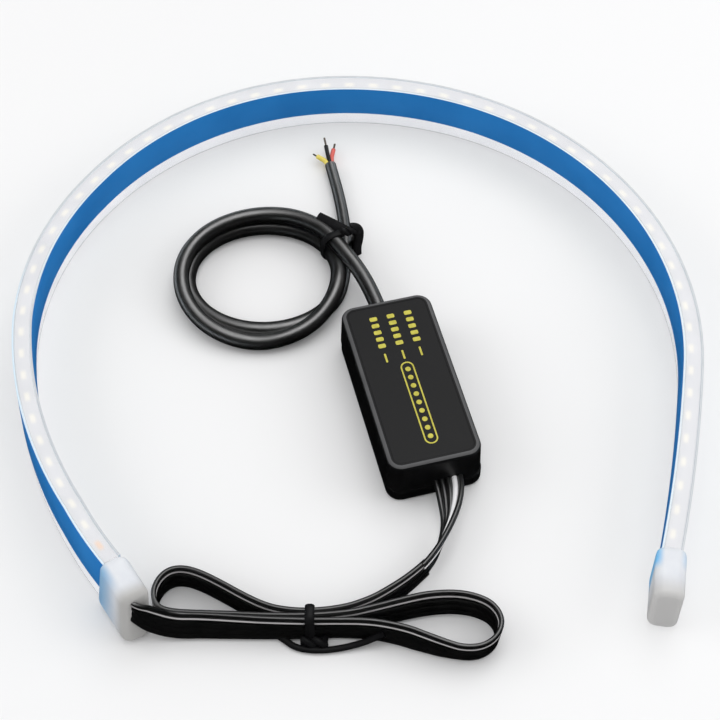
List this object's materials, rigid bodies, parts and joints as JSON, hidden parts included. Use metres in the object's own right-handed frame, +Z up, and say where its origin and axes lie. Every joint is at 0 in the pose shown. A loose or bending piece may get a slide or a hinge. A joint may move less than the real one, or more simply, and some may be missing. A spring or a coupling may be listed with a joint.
{
  "type": "daytime running light",
  "caption": "Bendable daytime running light strip on edge: milky silicone body and end caps, blue-backed tape, folded ribbon lead, black control box and a coiled supply cable.",
  "frame": {"origin": "on the surface it stands on, at the middle of the box round strip, end caps and control box", "axes": "+X to the right across the C-shaped bend, +Y from its open side towards its closed side, +Z up"},
  "size_m": [0.1904, 0.1908, 0.0176],
  "materials": {
    "milky_silicone": "satin",
    "blue_film": "gloss",
    "clear_tape": "satin",
    "flex_film": "satin",
    "led_phosphor": "satin",
    "led_amber": "satin",
    "chip_black": "satin",
    "solder": "satin",
    "black_cable": "satin",
    "white_cable": "satin",
    "tie_black": "satin",
    "box_black": "satin",
    "board_green": "satin",
    "chip_ceramic": "matte",
    "can_metal": "brushed",
    "core_red": "satin",
    "core_yellow": "satin",
    "core_black": "satin",
    "tinned_copper": "satin"
  },
  "bodies": {
    "root": {"strip_body": "milky_silicone", "flex_circuit": "flex_film", "leds": "led_phosphor", "end_led": "led_amber", "strip_resistors": "chip_black", "strip_joints": "solder", "inner_tape": "clear_tape", "inner_liner": "blue_film", "outer_tape": "clear_tape", "outer_liner": "blue_film", "cable_end_cap": "milky_silicone", "plain_end_cap": "milky_silicone", "ribbon_cable": "black_cable", "black_wire_1": "black_cable", "black_wire_2": "black_cable", "black_wire_3": "black_cable", "white_wire": "white_cable", "black_wire_4": "black_cable", "ribbon_tie": "tie_black", "box_cover": "box_black", "box_base": "box_black", "control_board": "board_green", "controller_chip": "chip_black", "transistors": "chip_black", "regulator": "chip_black", "capacitor": "can_metal", "diode": "chip_black", "board_resistors": "chip_black", "board_capacitors": "chip_ceramic", "board_joints": "solder", "supply_cores": "core_black", "power_lead": "black_cable", "power_coil": "black_cable", "power_tail": "black_cable", "coil_tie": "tie_black", "core_red": "core_red", "core_yellow": "core_yellow", "core_black": "core_black", "bare_ends": "tinned_copper"}
  },
  "joints": []
}
